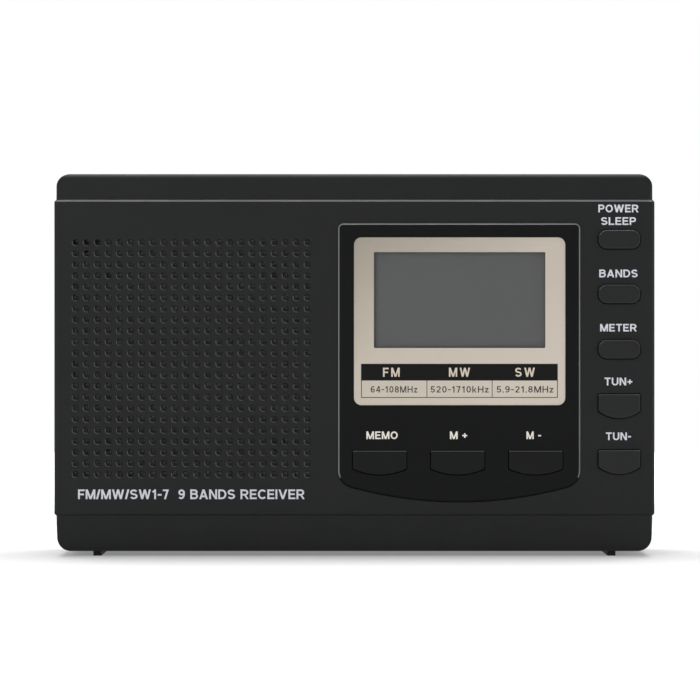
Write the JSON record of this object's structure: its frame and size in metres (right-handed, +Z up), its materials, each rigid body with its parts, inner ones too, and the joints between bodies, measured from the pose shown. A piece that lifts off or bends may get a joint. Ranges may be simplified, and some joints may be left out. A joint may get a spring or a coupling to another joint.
{
  "type": "shortwave receiver",
  "caption": "Pocket shortwave receiver with a speaker grille, a dial window, press keys, a side volume wheel, a fold-out stand and a telescopic aerial.",
  "frame": {"origin": "on the table under the middle of the case", "axes": "+X to the user's right, -Y out of the front, +Z up"},
  "size_m": [0.136, 0.027, 0.0868],
  "materials": {
    "case_black": "fine moulded texture, dark charcoal",
    "key_black": "satin moulded plastic",
    "switch_plunger": "moulded plastic",
    "switch_black": "moulded plastic",
    "wheel_black": "satin moulded plastic",
    "bezel_black": "satin, fine texture",
    "dial_champagne": "satin metallic champagne",
    "lens_clear": "clear acrylic",
    "lcd_grey": "unlit liquid-crystal grey",
    "zebra_rubber": "matte",
    "light_guide": "frosted",
    "frame_white": "moulded plastic",
    "screw_steel": "zinc plated",
    "cell_wrap": "printed sleeve",
    "contact_nickel": "nickel plated",
    "board_green": "solder mask",
    "basket_steel": "pressed, plated",
    "cone_paper": "black paper",
    "magnet_dark": "matte",
    "ferrite": "matte",
    "coil_copper": "enamelled copper wire",
    "chip_black": "moulded epoxy",
    "capacitor_sleeve": "shrink sleeve",
    "aerial_chrome": "bright plated"
  },
  "bodies": {
    "case": {"aerial_coil": "coil_copper", "battery_cells": "cell_wrap", "battery_contacts": "contact_nickel", "battery_springs": "contact_nickel", "board_and_speaker_screws": "screw_steel", "board_capacitors": "capacitor_sleeve", "board_chips": "chip_black", "case_screws": "screw_steel", "dial_plate": "dial_champagne", "display_bezel": "bezel_black", "ferrite_clips": "frame_white", "ferrite_rod": "ferrite", "front_cover": "case_black", "hold_switch_body": "switch_black", "key_switches": "switch_black", "lcd_contact_strip": "zebra_rubber", "lcd_frame": "frame_white", "lcd_glass": "lcd_grey", "lcd_lens": "lens_clear", "lcd_light_guide": "light_guide", "main_board": "board_green", "phones_jack": "switch_black", "power_jack": "switch_black", "rear_cover": "case_black", "side_board": "board_green", "speaker_cloth": "cone_paper", "speaker_cone": "cone_paper", "speaker_frame": "basket_steel", "speaker_magnet": "magnet_dark", "tuner_shield": "contact_nickel", "volume_control": "switch_black"},
    "power_key": {"power_button": "key_black", "power_switch_plunger": "switch_plunger"},
    "band_key": {"band_button": "key_black", "band_switch_plunger": "switch_plunger"},
    "meter_key": {"meter_button": "key_black", "meter_switch_plunger": "switch_plunger"},
    "tune_up_key": {"tune_up_button": "key_black", "tune_up_switch_plunger": "switch_plunger"},
    "tune_down_key": {"tune_down_button": "key_black", "tune_down_switch_plunger": "switch_plunger"},
    "memory_key": {"memory_button": "key_black", "memory_switch_plunger": "switch_plunger"},
    "memory_up_key": {"memory_up_button": "key_black", "memory_up_switch_plunger": "switch_plunger"},
    "memory_down_key": {"memory_down_button": "key_black", "memory_down_switch_plunger": "switch_plunger"},
    "volume": {"volume_wheel": "wheel_black"},
    "hold": {"hold_knob": "wheel_black"},
    "door": {"battery_door": "case_black"},
    "stand": {"stand_leg": "case_black"},
    "turret": {"aerial_turret": "aerial_chrome", "aerial_turret_screw": "screw_steel", "aerial_pivot_pin": "screw_steel"},
    "aerial_1": {"aerial_knuckle": "aerial_chrome", "aerial_tube_1": "aerial_chrome"},
    "aerial_2": {"aerial_tube_2": "aerial_chrome"},
    "aerial_3": {"aerial_tube_3": "aerial_chrome"},
    "aerial_4": {"aerial_tube_4": "aerial_chrome"},
    "aerial_5": {"aerial_tip_rod": "aerial_chrome"}
  },
  "joints": [
    {"name": "power_press", "type": "slide", "parent": "case", "child": "power_key", "axis": [0, 1, 0], "range_m": [0, 0.0005], "stiffness_N_per_m": 600},
    {"name": "band_press", "type": "slide", "parent": "case", "child": "band_key", "axis": [0, 1, 0], "range_m": [0, 0.0005], "stiffness_N_per_m": 600},
    {"name": "meter_press", "type": "slide", "parent": "case", "child": "meter_key", "axis": [0, 1, 0], "range_m": [0, 0.0005], "stiffness_N_per_m": 600},
    {"name": "tune_up_press", "type": "slide", "parent": "case", "child": "tune_up_key", "axis": [0, 1, 0], "range_m": [0, 0.0005], "stiffness_N_per_m": 600},
    {"name": "tune_down_press", "type": "slide", "parent": "case", "child": "tune_down_key", "axis": [0, 1, 0], "range_m": [0, 0.0005], "stiffness_N_per_m": 600},
    {"name": "memory_press", "type": "slide", "parent": "case", "child": "memory_key", "axis": [0, 1, 0], "range_m": [0, 0.0005], "stiffness_N_per_m": 600},
    {"name": "memory_up_press", "type": "slide", "parent": "case", "child": "memory_up_key", "axis": [0, 1, 0], "range_m": [0, 0.0005], "stiffness_N_per_m": 600},
    {"name": "memory_down_press", "type": "slide", "parent": "case", "child": "memory_down_key", "axis": [0, 1, 0], "range_m": [0, 0.0005], "stiffness_N_per_m": 600},
    {"name": "volume_turn", "type": "hinge", "parent": "case", "child": "volume", "pos_m": [0.059, 0.0027, 0.056], "axis": [0, 1, 0], "range_deg": [-150, 150]},
    {"name": "hold_slide", "type": "slide", "parent": "case", "child": "hold", "axis": [0, 0, 1], "range_m": [-0.0015, 0.0015]},
    {"name": "door_hinge", "type": "hinge", "parent": "case", "child": "door", "pos_m": [-0.0072, 0.0135, 0.0217], "axis": [0, 0, 1], "range_deg": [0, 80]},
    {"name": "stand_fold", "type": "hinge", "parent": "case", "child": "stand", "pos_m": [-0.036, 0.0122, 0.0545], "axis": [1, 0, 0], "range_deg": [0, 45]},
    {"name": "aerial_swivel", "type": "hinge", "parent": "case", "child": "turret", "pos_m": [0.06, 0.01, 0.078], "axis": [0, 0, -1], "range_deg": [0, 180]},
    {"name": "aerial_fold", "type": "hinge", "parent": "turret", "child": "aerial_1", "pos_m": [0.06, 0.01, 0.0823], "axis": [0, 1, 0], "range_deg": [0, 150]},
    {"name": "aerial_slide_2", "type": "slide", "parent": "aerial_1", "child": "aerial_2", "axis": [-1, 0, 0], "range_m": [0, 0.094]},
    {"name": "aerial_slide_3", "type": "slide", "parent": "aerial_2", "child": "aerial_3", "axis": [-1, 0, 0], "range_m": [0, 0.094]},
    {"name": "aerial_slide_4", "type": "slide", "parent": "aerial_3", "child": "aerial_4", "axis": [-1, 0, 0], "range_m": [0, 0.094]},
    {"name": "aerial_slide_5", "type": "slide", "parent": "aerial_4", "child": "aerial_5", "axis": [-1, 0, 0], "range_m": [0, 0.094]}
  ]
}
